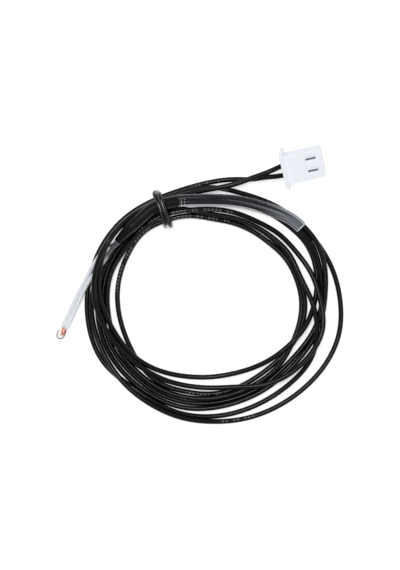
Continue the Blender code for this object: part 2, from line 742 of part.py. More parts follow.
# Contacts: a box for the pin, a strip and a rolled barrel that grips the insulation.
contact_end = front - FIT * 4
contact_start = contact_end - CONTACT_LENGTH
crimp_radius = WIRE_DIAMETER / 2 + FIT
crimp_start = contact_start - CRIMP_LENGTH - STRIP_GAP
wire_end = crimp_start + WIRE_IN_CRIMP
for tag, side in (("a", 1), ("b", -1)):
    way = side * PITCH / 2
    outside = block_mesh(
        f"terminal_{tag}",
        (contact_start, way - CONTACT_WIDTH / 2, -CONTACT_HEIGHT / 2),
        (contact_end, way + CONTACT_WIDTH / 2, CONTACT_HEIGHT / 2),
        CONTACT_WALL / 2,
    )
    terminal = add_object(f"terminal_{tag}", outside, TIN_PLATE, plug_axis)
    work = bmesh.new()
    room_across = CONTACT_WIDTH / 2 - CONTACT_WALL
    room_up = CONTACT_HEIGHT / 2 - CONTACT_WALL
    block(
        work,
        (contact_start - CUT_PAST / 2, way - room_across, -room_up),
        (contact_end + CUT_PAST / 2, way + room_across, room_up),
    )
    cut(terminal, cutter(f"pin_box_{tag}", mesh_from(f"pin_box_{tag}", work), plug_axis))
    work = bmesh.new()
    block(
        work,
        (window_middle - LANCE_LENGTH / 2, way - LANCE_WIDTH / 2, CONTACT_HEIGHT / 2 - CONTACT_WALL / 2),
        (window_middle + LANCE_LENGTH / 2, way + LANCE_WIDTH / 2, CONTACT_HEIGHT / 2 + LANCE_HEIGHT),
    )
    cut(terminal, cutter(f"lance_{tag}", mesh_from(f"lance_{tag}", work), plug_axis), "UNION")
    barrel = bmesh.new()
    opening = math.radians(CRIMP_SLIT) / 2
    turn = np.linspace(math.pi / 2 + opening, math.pi * 5 / 2 - opening, 17)
    outline = [
        (way + radius * math.cos(a), radius * math.sin(a))
        for radius, angles in (
            (crimp_radius + CRIMP_WALL, turn),
            (crimp_radius, turn[::-1]),
        )
        for a in angles
    ]
    rings = [
        [barrel.verts.new(Vector((x, y, z)) * MM) for y, z in outline]
        for x in (crimp_start, crimp_start + CRIMP_LENGTH)
    ]
    join_rings(barrel, rings[0], rings[1])
    count = len(turn)
    for ring in rings:
        for k in range(count - 1):
            barrel.faces.new((ring[k], ring[k + 1], ring[-k - 2], ring[-k - 1]))
    barrel_mesh = mesh_from(f"barrel_{tag}", barrel)
    cut(terminal, cutter(f"barrel_{tag}", barrel_mesh, plug_axis), "UNION")
    work = bmesh.new()
    strip_top = -crimp_radius - FIT
    block(
        work,
        (crimp_start + CRIMP_LENGTH / 2, way - STRIP_WIDTH / 2, -CONTACT_HEIGHT / 2 + FIT),
        (contact_start + CONTACT_WALL, way + STRIP_WIDTH / 2, strip_top),
    )
    cut(terminal, cutter(f"strip_{tag}", mesh_from(f"strip_{tag}", work), plug_axis), "UNION")
    inside = [
        plug_rear + plug_turn @ Vector((x, y, 0.0))
        for x, y in (
            (MOUTH_DEPTH / 2, way - side * FIT * 2),
            (crimp_start - CRIMP_LENGTH / 2, way),
            (crimp_start, way),
            (wire_end, way),
        )
    ]
    route = PLUG_LEAD_A_ROUTE if side > 0 else PLUG_LEAD_B_ROUTE
    cord(
        f"wire_{tag}_plug_end", smooth_route([*route, *inside], 2.2 * WIRE_DIAMETER),
        WIRE_DIAMETER, BLACK_INSULATION,
    )

# The whole part is set down with the middle of the sensing end's footprint at the origin.
SENSING_END = ("glass_bead", "sleeve_a", "sleeve_b", "heat_shrink", "clear_tube")
bpy.context.view_layer.update()
graph = bpy.context.evaluated_depsgraph_get()
reach = []
for name in SENSING_END:
    piece = bpy.data.objects[name].evaluated_get(graph)
    reach += [piece.matrix_world @ vertex.co for vertex in piece.data.vertices]
middle_x = (min(p.x for p in reach) + max(p.x for p in reach)) / 2
middle_y = (min(p.y for p in reach) + max(p.y for p in reach)) / 2
lay.location = (-middle_x, -middle_y, -min(p.z for p in reach))
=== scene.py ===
import math

import bmesh
import bpy
import numpy as np
from mathutils import Matrix, Vector
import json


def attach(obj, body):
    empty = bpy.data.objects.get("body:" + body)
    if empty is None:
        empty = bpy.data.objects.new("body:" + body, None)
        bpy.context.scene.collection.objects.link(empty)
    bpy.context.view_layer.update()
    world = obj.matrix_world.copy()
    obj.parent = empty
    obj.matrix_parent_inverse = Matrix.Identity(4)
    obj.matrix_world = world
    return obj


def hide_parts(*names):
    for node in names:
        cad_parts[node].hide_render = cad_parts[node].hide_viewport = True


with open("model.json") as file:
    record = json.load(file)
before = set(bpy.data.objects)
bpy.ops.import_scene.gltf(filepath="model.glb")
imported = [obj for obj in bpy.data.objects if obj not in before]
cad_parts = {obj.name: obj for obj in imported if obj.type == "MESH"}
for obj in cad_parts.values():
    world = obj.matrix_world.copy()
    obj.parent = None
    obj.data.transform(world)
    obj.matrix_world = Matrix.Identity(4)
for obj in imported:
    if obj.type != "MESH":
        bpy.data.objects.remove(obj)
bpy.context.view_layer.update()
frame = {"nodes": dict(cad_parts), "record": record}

# Lead: two single wires with a stranded copper core in black extruded insulation, 1 mm over
# all. They are wound together by hand, about four turns each, and lie loosely on each other.
# Lengths are in millimetres from the coil's centre, and MM turns them into metres.
MM = 0.001
REST_SPOT_OUT = 22.5
WIRE_DIAMETER = 1.05
WIRE_SIDES = 14
STEP = 0.4
mounts = {mount["name"]: mount for mount in frame["record"]["mounts"]}
rest_spot = Vector(mounts["coil_underside"]["pos_m"])
coil_centre = np.array([rest_spot.x - REST_SPOT_OUT * MM, rest_spot.y, 0.0])


def even_curve(points, step=STEP):
    """Evenly spaced points on a smooth curve through the given ones, bending continuously."""
    p = np.array(points, float)
    at = np.concatenate([[0.0], np.cumsum(np.linalg.norm(np.diff(p, axis=0), axis=1))])
    gap = np.diff(at)
    count = len(at)
    system = np.eye(count)
    bend = np.zeros_like(p)
    for i in range(1, count - 1):
        system[i, i - 1 : i + 2] = gap[i - 1], 2 * (gap[i - 1] + gap[i]), gap[i]
        bend[i] = 6 * ((p[i + 1] - p[i]) / gap[i] - (p[i] - p[i - 1]) / gap[i - 1])
    curve = np.linalg.solve(system, bend)
    dense = np.linspace(0.0, at[-1], round(at[-1] / step * 2) + 2)
    k = np.clip(np.searchsorted(at, dense) - 1, 0, count - 2)
    t, width = (dense - at[k])[:, None], gap[k][:, None]
    slope = (p[k + 1] - p[k]) / width - width * (2 * curve[k] + curve[k + 1]) / 6
    q = p[k] + t * slope + t**2 * curve[k] / 2 + t**3 * (curve[k + 1] - curve[k]) / (6 * width)
    run = np.concatenate([[0.0], np.cumsum(np.linalg.norm(np.diff(q, axis=0), axis=1))])
    even = np.linspace(0.0, run[-1], round(run[-1] / step) + 1)
    return np.stack([np.interp(even, run, q[:, c]) for c in range(q.shape[1])], axis=1)


def left_of(plan):
    """The sideways direction in plan at each point of a line."""
    ahead = np.gradient(plan[:, :2], axis=0)
    left = np.stack([-ahead[:, 1], ahead[:, 0]], axis=1)
    return left / np.linalg.norm(left, axis=1)[:, None]


# The two wires run side by side through the clear tube into the heat-shrink, whose common
# middle line starts ahead of the tube's mouth.
PROBE_ROUTE = (
    (20.45, 12.40), (18.32, 14.89), (16.22, 16.63), (11.91, 18.48), (6.78, 19.92), (3.90, 20.33),
    (-2.46, 20.43), (-6.47, 20.23), (-8.83, 19.82), (-11.99, 18.69), (-14.48, 16.63),
    (-16.57, 14.78), (-19.26, 11.99),
)
MOUTH_SPOT = PROBE_ROUTE[1]
WIRE_SPREAD = 0.53
SHRINK_LENGTH = 15.2
probe = even_curve(PROBE_ROUTE)
probe_left = left_of(probe)
mouth = int(np.argmin(np.linalg.norm(probe - MOUTH_SPOT, axis=1)))
chain = probe[mouth:]
chain_length = len(chain)
shrink_start = chain_length - 1 - round(SHRINK_LENGTH / STEP)

# How far each pass of a wire is from the coil's centre, every 15 degrees counter-clockwise
# from the top, where the wire joins the coil, one group for each turn.
LANE_START, LANE_STEP = 90, 15
LANES = {
    "a": (
        (22.75, 22.3, 22.8, 23.7, 24.2, 24.46, 23.93, 22.58, 21.15, 19.93, 19.02, 18.31, 18.05,
         18.48, 20.17, 21.78, 22.88, 23.38, 22.19),
        (21.12, 19.95, 19.3, 18.6, 18.5, 18.6, 19.0, 20.0, 20.45, 20.7, 21.46, 21.54, 21.54,
         21.6, 21.3, 21.1, 20.7, 20.22, 19.75, 19.46, 19.24, 18.72, 18.54, 18.34),
        (17.84, 17.32, 16.6, 16.4, 16.4, 16.7, 17.9, 18.9, 19.8, 19.7, 19.61, 19.46, 19.29,
         19.44, 19.99, 20.13, 19.6, 19.32, 18.83, 18.33, 18.34, 18.85, 19.22, 19.11),
        (18.4, 18.0, 17.7, 17.5, 17.4, 17.6, 19.0, 20.6, 21.35, 21.75, 22.27, 22.52, 22.75,
         22.68, 22.37, 22.15, 21.8, 21.23, 20.74, 20.48, 20.3, 20.84, 21.98, 22.59),
        (23.0,),
    ),
    "b": (
        (24.3, 23.5, 23.7, 24.5, 25.1, 25.46, 25.73, 25.95, 25.74, 24.47, 24.06, 24.19, 23.97,
         23.63, 23.43, 23.54, 23.59, 22.27, 20.35),
        (18.71, 18.43, 17.9, 17.5, 17.4, 17.6, 19.2, 21.3, 22.4, 22.89, 23.69, 24.71, 24.86,
         24.8, 24.81, 24.78, 24.93, 24.99, 25.32, 25.69, 26.19, 26.83, 27.07, 26.39),
        (25.55, 24.59, 23.9, 23.2, 22.8, 23.1, 22.9, 23.1, 23.7, 24.16, 23.76, 22.81, 21.32,
         20.18, 18.9, 17.47, 16.38, 15.83, 15.73, 16.19, 17.09, 18.31, 19.92, 21.19),
        (22.24, 22.61, 21.9, 21.3, 20.7, 20.6, 20.9, 21.7, 22.4, 22.64, 23.1, 23.5, 23.79,
         23.76, 23.47, 23.19, 22.88, 22.17, 21.57, 21.31, 21.32, 21.81, 22.7, 23.12),
        (24.0,),
    ),
}

# From the coil to the plug: each wire's route in plan.
PLUG_LEAD_ROUTES = {
    "a": ((6.41, 24.30), (8.22, 25.00), (10.48, 25.78), (12.28, 26.50), (13.66, 27.12)),
    "b": ((4.82, 24.79), (7.20, 24.76), (8.83, 24.85), (10.88, 25.12), (12.70, 25.28), (14.00, 25.37)),
}
strands = {}
for tag, side in (("a", 1), ("b", -1)):
    lane = []
    for count, reach in enumerate(reach for turn in LANES[tag] for reach in turn):
        angle = math.radians(LANE_START + count * LANE_STEP)
        lane.append((reach * math.cos(angle), reach * math.sin(angle)))
    lead = np.array(PLUG_LEAD_ROUTES[tag])[::-1]
    ends = [probe[i] + side * WIRE_SPREAD * probe_left[i] for i in (0, mouth)]
    strands[tag] = even_curve(np.vstack([lead, lane, ends]))

# From the heat-shrink the leg of each wire goes on in a sleeve, and both sleeves end side by
# side behind the bead. The outer one's course also stands for the tube and the heat-shrink.
SLEEVE_ROUTES = {
    "outer": ((-21.00, 11.30), (-22.12, 10.08), (-24.20, 7.40), (-25.60, 4.70), (-28.21, -0.18)),
    "inner": ((-20.39, 10.47), (-21.56, 8.73), (-23.31, 6.47), (-24.90, 4.37), (-27.44, -0.55)),
}
SLEEVE_DIAMETER = 0.84
SLEEVE_HALF_GAP = 0.025
BEAD_REAR = (-30.39, -5.73)
BEAD_HEADING = math.radians(242.4)
bead_ahead = np.array([math.cos(BEAD_HEADING), math.sin(BEAD_HEADING)])
bead_left = np.array([-bead_ahead[1], bead_ahead[0]])
for tag, side in (("outer", -1), ("inner", 1)):
    apart = side * (SLEEVE_DIAMETER / 2 + SLEEVE_HALF_GAP)
    into_bead = np.array(BEAD_REAR) + apart * bead_left
    ends = [into_bead - 2 * SLEEVE_DIAMETER * bead_ahead, into_bead]
    first = probe[-1] + apart * probe_left[-1]
    strands[tag] = even_curve(np.vstack([first, SLEEVE_ROUTES[tag], ends]))
strands["outer"] = np.vstack([chain, strands["outer"][1:]])
order = ("a", "b", "outer", "inner")

# Which pass lies over which: pairs of the angle along the wire and its level there. The
# higher level lies on top where two passes cross.
LEVELS = {
    "a": ((357, 8), (363, 6), (717, 6), (723, 4), (1077, 4), (1083, 1), (1437, 1), (1443, 2.5)),
    "b": ((357, 3), (363, 5), (717, 5), (723, 7), (1068, 7), (1071, 2), (1437, 2), (1443, 3),
          (1454, 3), (1459, 7.5)),
}
TUBE_LEVEL, SLEEVE_LEVEL = 9, 6.5
LEVEL_RISE = 0.2

# Radius, level and place of every point of every strand, in one list.
CLEAR_TUBE_DIAMETER = 2.56
SHRINK_DIAMETER = 2.36
SHRINK_END_WIDTH, SHRINK_TAPER = 1.44, 4
radius_of, level_of = {}, {}
for tag in "ab":
    line = strands[tag]
    turned = np.degrees(np.unwrap(np.arctan2(line[:, 1], line[:, 0])))
    radius_of[tag] = np.full(len(line), WIRE_DIAMETER / 2)
    level_of[tag] = np.interp(turned, *zip(*LEVELS[tag]))
for tag in ("outer", "inner"):
    radius_of[tag] = np.full(len(strands[tag]), SLEEVE_DIAMETER / 2)
    level_of[tag] = np.full(len(strands[tag]), SLEEVE_LEVEL)
chain_radius = np.where(
    np.arange(chain_length) < shrink_start, CLEAR_TUBE_DIAMETER / 2, SHRINK_DIAMETER / 2
)
tapered = np.clip(np.arange(chain_length)[::-1] * STEP / SHRINK_TAPER, 0, 1)
flat = SHRINK_END_WIDTH / 2 + (SHRINK_DIAMETER - SHRINK_END_WIDTH) / 2 * tapered
radius_of["outer"][:chain_length] = np.minimum(chain_radius, flat)
level_of["outer"][:chain_length] = TUBE_LEVEL
plan = np.vstack([strands[tag] for tag in order])
radius = np.concatenate([radius_of[tag] for tag in order])
level = np.concatenate([level_of[tag] for tag in order])
owner = np.concatenate([np.full(len(strands[tag]), k) for k, tag in enumerate(order)])
along = np.concatenate([np.arange(len(strands[tag])) * STEP for tag in order])
to_go = np.concatenate([np.arange(len(strands[tag]))[::-1] * STEP for tag in order])
is_wire = owner < 2

# Every pair of points that are close enough in plan for one to lie on the other, and how much
# higher the upper one then is. A strand's own neighbouring points don't count, nor does what
# runs into the tube together.
TOUCH = 0.02
OWN_STRETCH = 6
MOUTH_STRETCH = 7
ROWS_AT_ONCE = 400
at_mouth = is_wire & (to_go < MOUTH_STRETCH)
pairs = []
for start in range(0, len(plan), ROWS_AT_ONCE):
    part = slice(start, start + ROWS_AT_ONCE)
    apart = np.linalg.norm(plan[part, None] - plan[None], axis=2)
    first, second = np.nonzero(apart < radius[part, None] + radius[None] + TOUCH)
    first += start
    same_stretch = (owner[first] == owner[second]) & (abs(along[first] - along[second]) < OWN_STRETCH)
    keep = (first < second) & ~same_stretch
    keep &= is_wire[first] | is_wire[second]
    keep &= ~(at_mouth[first] & (~is_wire[second] | at_mouth[second]))
    keep &= ~(at_mouth[second] & ~is_wire[first])
    pairs.append(np.stack([first[keep], second[keep]]))
first, second = np.hstack(pairs)
over = np.where(level[first] > level[second], first, second)
under = first + second - over
distance = np.linalg.norm(plan[first] - plan[second], axis=1)
lift = np.sqrt(np.maximum(0, (radius[first] + radius[second] + TOUCH) ** 2 - distance**2))

# The lowest that each point can lie: on the table, or above it where the tie passes under the
# bundle and lifts it a little.
TABLE_GAP = 0.01
TIE_CENTRE = (-10.19, 18.66)
TIE_HEADING = math.radians(109.4)
TIE_LIFT, TIE_LIFT_SLACK = 0.82, 0.08
TIE_LIFT_WIDTH, TIE_LIFT_REACH = 2.2, 4.5
tie_run = np.array([math.cos(TIE_HEADING), math.sin(TIE_HEADING)])
tie_side = np.array([-tie_run[1], tie_run[0]])
from_tie = plan - TIE_CENTRE
lifted = (TIE_LIFT + TIE_LIFT_SLACK) / (1 + (abs(from_tie @ tie_side) / TIE_LIFT_WIDTH) ** 4)
over_tie = abs(from_tie @ tie_run) < TIE_LIFT_REACH
lowest = radius + TABLE_GAP + np.where(over_tie, lifted, 0)

# The strands sink under their own weight, straighten out and push each other apart. The
# kernel is how a thin springy strand spreads a push at one point along itself.
SPRING_LENGTH = 1.66
SINK = 0.03
ROUNDS, PUSHES, LAST_PUSHES = 500, 3, 200
RISE_SHARE, FALL_SHARE = 0.6, 0.4
OWN_HEIGHT, SHARED_HEIGHT = 0.1, 0.9
PLUG_LEAD_HEIGHTS = {"a": 3.80, "b": 3.15}
PLUG_LEAD_FALL = 0.12
BEAD_HEIGHT = 0.93
SLEEVE_END_RISE = 0.01
FELT = 6 * SPRING_LENGTH
spread = np.arange(round(-FELT / STEP), round(FELT / STEP) + 1) * STEP
spread = spread / SPRING_LENGTH / math.sqrt(2)
kernel = np.exp(-abs(spread)) * (np.cos(spread) + np.sin(abs(spread)))
kernel /= kernel.sum()


def straightened(heights):
    """The heights along a strand after its stiffness has evened them out."""
    beyond = len(kernel) // 2
    before = 2 * heights[0] - heights[beyond:0:-1]
    after = 2 * heights[-1] - heights[-2 : -beyond - 2 : -1]
    return np.convolve(np.concatenate([before, heights, after]), kernel, "valid")


height = radius + LEVEL_RISE * level
start_of = dict(zip(order, np.searchsorted(owner, range(len(order)))))
last = {tag: start_of[tag] + len(strands[tag]) - 1 for tag in order}
fork = start_of["outer"] + chain_length - 1
for count in range(ROUNDS):
    for tag in order:
        part = slice(start_of[tag], last[tag] + 1)
        height[part] = straightened(height[part])
    height -= SINK * (1 - count / ROUNDS)
    for tag in "ab":
        height[start_of[tag]] = PLUG_LEAD_HEIGHTS[tag]
        height[start_of[tag] + 1] = PLUG_LEAD_HEIGHTS[tag] - PLUG_LEAD_FALL
        height[last[tag]] = height[start_of["outer"]]
    pair = [height[fork : last["outer"] + 1], height[start_of["inner"] : last["inner"] + 1]]
    shared = min(len(pair[0]), len(pair[1]))
    middle = (pair[0][:shared] + pair[1][:shared]) / 2
    for sleeve in pair:
        sleeve[:shared] = OWN_HEIGHT * sleeve[:shared] + SHARED_HEIGHT * middle
    height[start_of["inner"]] = height[fork]
    for tag in ("outer", "inner"):
        height[last[tag]] = BEAD_HEIGHT
        height[last[tag] - 2] = BEAD_HEIGHT + SLEEVE_END_RISE
    for _ in range(PUSHES):
        short = lift - (height[over] - height[under])
        pressed = short > 0
        rise, fall = np.zeros(len(height)), np.zeros(len(height))
        np.maximum.at(rise, over[pressed], short[pressed] * RISE_SHARE)
        np.maximum.at(fall, under[pressed], short[pressed] * FALL_SHARE)
        height = np.maximum(height + rise - fall, lowest)
for _ in range(LAST_PUSHES):
    short = lift - (height[over] - height[under])
    rise = np.zeros(len(height))
    np.maximum.at(rise, over, np.maximum(short, 0))
    height = height + rise
lines = {
    tag: np.column_stack([strands[tag], height[start_of[tag] : last[tag] + 1]]) for tag in order
}
chain_line = lines["outer"][:chain_length]
sleeve_lines = {"outer": lines["outer"][chain_length - 1 :], "inner": lines["inner"]}


def to_frame(line):
    """Points in millimetres from the coil's centre, in the shared frame and in metres."""
    return coil_centre + np.asarray(line) * MM


def placed_skin(name, points, faces, uv=None):
    """An object with a smooth skin of points and faces, and its own map where one is given."""
    mesh = bpy.data.meshes.new(name)
    mesh.from_pydata(to_frame(points).tolist(), [], faces)
    if uv is not None:
        mesh.uv_layers.new(name="along").data.foreach_set("uv", uv.ravel())
    work = bmesh.new()
    work.from_mesh(mesh)
    bmesh.ops.recalc_face_normals(work, faces=work.faces)
    work.to_mesh(mesh)
    work.free()
    mesh.shade_smooth()
    made = bpy.data.objects.new(name, mesh)
    bpy.context.scene.collection.objects.link(made)
    return made


SHARP_ANGLE = math.radians(50)


def round_skin(name, line, radii, sides, open_ends=False):
    """A round skin along a line, whose map has the millimetres along it and the way round it."""
    ahead = np.gradient(line, axis=0)
    ahead /= np.linalg.norm(ahead, axis=1)[:, None]
    right = np.cross(ahead, [0.0, 0.0, 1.0])
    right /= np.linalg.norm(right, axis=1)[:, None]
    up = np.cross(right, ahead)
    radii = np.broadcast_to(radii, len(line)).astype(float)
    angles = 2 * math.pi * np.arange(sides) / sides
    skin = (
        line[:, None]
        + (radii[:, None] * np.cos(angles))[..., None] * right[:, None]
        + (radii[:, None] * np.sin(angles))[..., None] * up[:, None]
    )
    count = len(line)
    faces = [
        (i * sides + k, i * sides + (k + 1) % sides, (i + 1) * sides + (k + 1) % sides,
         (i + 1) * sides + k)
        for i in range(count - 1)
        for k in range(sides)
    ]
    run = np.concatenate([[0.0], np.cumsum(np.linalg.norm(np.diff(line, axis=0), axis=1))])
    u = [(run[i], run[i], run[i + 1], run[i + 1]) for i in range(count - 1) for _ in range(sides)]
    v = [(k, k + 1, k + 1, k) for _ in range(count - 1) for k in range(sides)]
    if not open_ends:
        faces += [tuple(range(sides)), tuple(range((count - 1) * sides, count * sides))[::-1]]
        u += [(run[0],) * sides, (run[-1],) * sides]
        v += [(0,) * sides] * 2
    uv = np.stack([np.concatenate([np.array(x, float) for x in part]) for part in (u, v)], axis=1)
    uv[:, 1] /= sides
    made = placed_skin(name, skin.reshape(-1, 3), faces, uv)
    made.data.set_sharp_from_angle(angle=SHARP_ANGLE)
    return made


def feed(tree, made, spot, value):
    """Put a number, a colour or another node's result into an input of a node."""
    if isinstance(value, bpy.types.NodeSocket):
        tree.links.new(value, made.inputs[spot])
    else:
        made.inputs[spot].default_value = value


def shader_node(tree, kind, **values):
    """A new node, with values for its named inputs."""
    made = tree.nodes.new("ShaderNode" + kind)
    for key, value in values.items():
        feed(tree, made, key.replace("_", " "), value)
    return made


def reckoned(tree, operation, *values):
    """What one operation makes of its values."""
    made = tree.nodes.new("ShaderNodeMath")
    made.operation = operation
    for spot, value in enumerate(values):
        feed(tree, made, spot, value)
    return made.outputs[0]


def ranged(tree, value, low, high, start=0.0, end=1.0):
    """A value that goes from start to end while the given one goes from low to high."""
    spread_out = shader_node(
        tree, "MapRange", Value=value, From_Min=low, From_Max=high, To_Min=start, To_Max=end
    )
    return spread_out.outputs["Result"]


GRAIN_SCALE = 900.0
GLOSS_LOW, GLOSS_HIGH = 0.85, 1.15


def stock_finish(name, colour, roughness, specular=0.5, metallic=0.0):
    """A material whose gloss varies finely, as on drawn, moulded or stamped stock."""
    made = bpy.data.materials.new(name)
    made.use_nodes = True
    tree = made.node_tree
    shader = tree.nodes["Principled BSDF"]
    shader.inputs["Base Color"].default_value = (*colour, 1.0)
    shader.inputs["Specular IOR Level"].default_value = specular
    shader.inputs["Metallic"].default_value = metallic
    where = shader_node(tree, "TexCoord").outputs["Object"]
    grain = shader_node(tree, "TexNoise", Vector=where, Scale=GRAIN_SCALE, Detail=3.0).outputs["Fac"]
    gloss = ranged(tree, grain, 0.0, 1.0, roughness * GLOSS_LOW, roughness * GLOSS_HIGH)
    tree.links.new(gloss, shader.inputs["Roughness"])
    return made


# Faint grey printing: small plain dashes in groups, on some stretches of each wire, in a row
# along its top that sways a little.
BLACK, INK = (0.002, 0.002, 0.0023), (0.085, 0.088, 0.095)
DASH_PITCH, DASH_SHARE = 0.8, 0.6
ROW_PLACE, ROW_HALF_WIDTH = 0.25, 0.075
ROW_SWAY, SWAY_RATE = 0.05, 0.19
GROUP_SCALE, GROUP_LIMIT = 0.42, 0.45
insulation = stock_finish("black_insulation", BLACK, 0.24, specular=0.2)
tree = insulation.node_tree
uv_map = shader_node(tree, "UVMap")
uv_map.uv_map = "along"
place = shader_node(tree, "SeparateXYZ", Vector=uv_map.outputs["UV"])
sway = reckoned(tree, "SINE", reckoned(tree, "MULTIPLY", place.outputs["X"], SWAY_RATE))
row = reckoned(tree, "MULTIPLY_ADD", sway, ROW_SWAY, ROW_PLACE)
off_row = reckoned(tree, "ABSOLUTE", reckoned(tree, "SUBTRACT", place.outputs["Y"], row))
in_row = reckoned(tree, "LESS_THAN", off_row, ROW_HALF_WIDTH)
beat = reckoned(tree, "FRACT", reckoned(tree, "DIVIDE", place.outputs["X"], DASH_PITCH))
dash = reckoned(tree, "LESS_THAN", beat, DASH_SHARE)
groups = shader_node(tree, "TexNoise", Scale=GROUP_SCALE, Detail=1.0)
groups.noise_dimensions = "1D"
tree.links.new(place.outputs["X"], groups.inputs["W"])
grouped = reckoned(tree, "GREATER_THAN", groups.outputs["Fac"], GROUP_LIMIT)
printed_here = shader_node(tree, "Attribute")
printed_here.attribute_name = "ink"
inked = reckoned(tree, "MULTIPLY", in_row, dash)
inked = reckoned(tree, "MULTIPLY", inked, grouped)
inked = reckoned(tree, "MULTIPLY", inked, printed_here.outputs["Fac"])
ramp = shader_node(tree, "ValToRGB", Fac=inked)
for stop, colour in zip(ramp.color_ramp.elements, (BLACK, INK)):
    stop.color = (*colour, 1.0)
tree.links.new(ramp.outputs["Color"], tree.nodes["Principled BSDF"].inputs["Base Color"])

# Where the printing faces up, in degrees turned round the coil since its right-hand side. The
# wires' ends at the plug lie near 60 degrees.
PLUG_ANGLE = 60
PRINTED = {
    "a": ((437, 475), (483, 499), (797, 840), (850, 894), (975, 997)),
    "b": ((88, 101), (630, 650), (800, 812), (1170, 1195)),
}

# The plug's rear face and how it is turned, and where each wire runs in it up to its crimp.
PLUG_REAR = (14.41, 26.75, 3.825)
PLUG_HEADING, PLUG_PITCH, PLUG_ROLL = (math.radians(degrees) for degrees in (12.0, 9.0, 17.0))
WAY_PITCH = 2.5
CRIMP_RUN = (0.2, 1.65, 2.3, 3.4)
OFF_WAY_AT_REAR = {"a": 0.48, "b": 0.05}
plug_turn = (
    Matrix.Rotation(PLUG_HEADING, 3, "Z")
    @ Matrix.Rotation(-PLUG_PITCH, 3, "Y")
    @ Matrix.Rotation(PLUG_ROLL, 3, "X")
)
INTO_SHRINK = 4.0
OFF_MIDDLE, OFF_MIDDLE_WITHIN = 0.16, 1.6
BLEND_POINTS, BLEND_STEP = 14, 6


def wire_line(tag, side):
    """The whole middle line of one wire, from its joint under the heat-shrink to its crimp."""
    in_tube = chain_line[: shrink_start + round(INTO_SHRINK / STEP)]
    left = np.column_stack([left_of(in_tube), np.zeros(len(in_tube))])
    settled = np.clip(np.arange(len(in_tube)) * STEP / OFF_MIDDLE_WITHIN, 0, 1)[:, None]
    before = (in_tube + (side * WIRE_SPREAD - OFF_MIDDLE * settled) * left)[::-1]
    coiled = lines[tag][::-1]
    crimp = []
    for x in CRIMP_RUN:
        y = side * WAY_PITCH / 2 - (OFF_WAY_AT_REAR[tag] if x == CRIMP_RUN[0] else 0)
        crimp.append(np.array(PLUG_REAR) + np.array(plug_turn @ Vector((x, y, 0.0))))
    after = even_curve(np.vstack([coiled[-BLEND_POINTS::BLEND_STEP], crimp]))
    return np.vstack([before, coiled[1:-BLEND_POINTS], after])


STOOD_FOR = {
    "a": ("wire_coil", "wire_a_probe_end", "wire_a_plug_end"),
    "b": ("wire_b_probe_end", "wire_b_plug_end"),
}
for tag, side in (("a", 1), ("b", -1)):
    line = wire_line(tag, side)
    drawn = line[::2]
    wire = round_skin(f"wire_{tag}", drawn, WIRE_DIAMETER / 2, WIRE_SIDES)
    turned = np.degrees(np.unwrap(np.arctan2(drawn[:, 1], drawn[:, 0])))
    turned += 360 * round((PLUG_ANGLE - turned[-1]) / 360)
    printed = sum(((turned > low) & (turned < high)).astype(float) for low, high in PRINTED[tag])
    ink = wire.data.attributes.new("ink", "FLOAT", "POINT")
    ink.data.foreach_set("value", np.repeat(printed, WIRE_SIDES))
    wire.data.materials.append(insulation)
    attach(wire, "root")
    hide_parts(*STOOD_FOR[tag])

# Clear tube: soft translucent extruded tubing, cut to length and slid over both wires, that
# keeps them together next to the joints. Its paler edges and its denser veil near the mouth are
# painted reflection, its streaks painted highlights, and the pale rings at its mouth and near its
# end in the heat-shrink painted highlights on its cut edges.
# Its colour where it faces the eye, its painted reflection towards the edges, and its painted highlight
# streaks.
TUBE_FACE, TUBE_EDGE_REFLECTION, TUBE_HIGHLIGHT_STREAK = (0.06, 0.07, 0.095), (0.34, 0.35, 0.39), (0.7, 0.73, 0.8)
# Pale rings of painted highlight at its cut ends, specked round the tube, strongest towards the inside
# of the coil.
CUT_EDGE_HIGHLIGHT = (0.8, 0.82, 0.86)
CUT_EDGE_HIGHLIGHT_SHARE = 0.7
HIGHLIGHT_SPECKS_INWARD = (0.1, 0.4, 0.1, 1.0)
HIGHLIGHT_STREAK_STRETCH = (0.035, 11.0, 0.0)
HIGHLIGHT_STREAK_RANGE = (0.46, 0.62)
FACING_BLEND = 0.35


def blended(tree, share, one, other):
    """A mix of two colours, by the share of the second one."""
    mixed = tree.nodes.new("ShaderNodeMix")
    mixed.data_type = "RGBA"
    tree.links.new(share, mixed.inputs[0])
    # Of this node's sockets, inputs 6 and 7 and output 2 are the ones for colours.
    for spot, colour in ((6, one), (7, other)):
        feed(tree, mixed, spot, (*colour, 1.0) if isinstance(colour, tuple) else colour)
    return mixed.outputs[2]


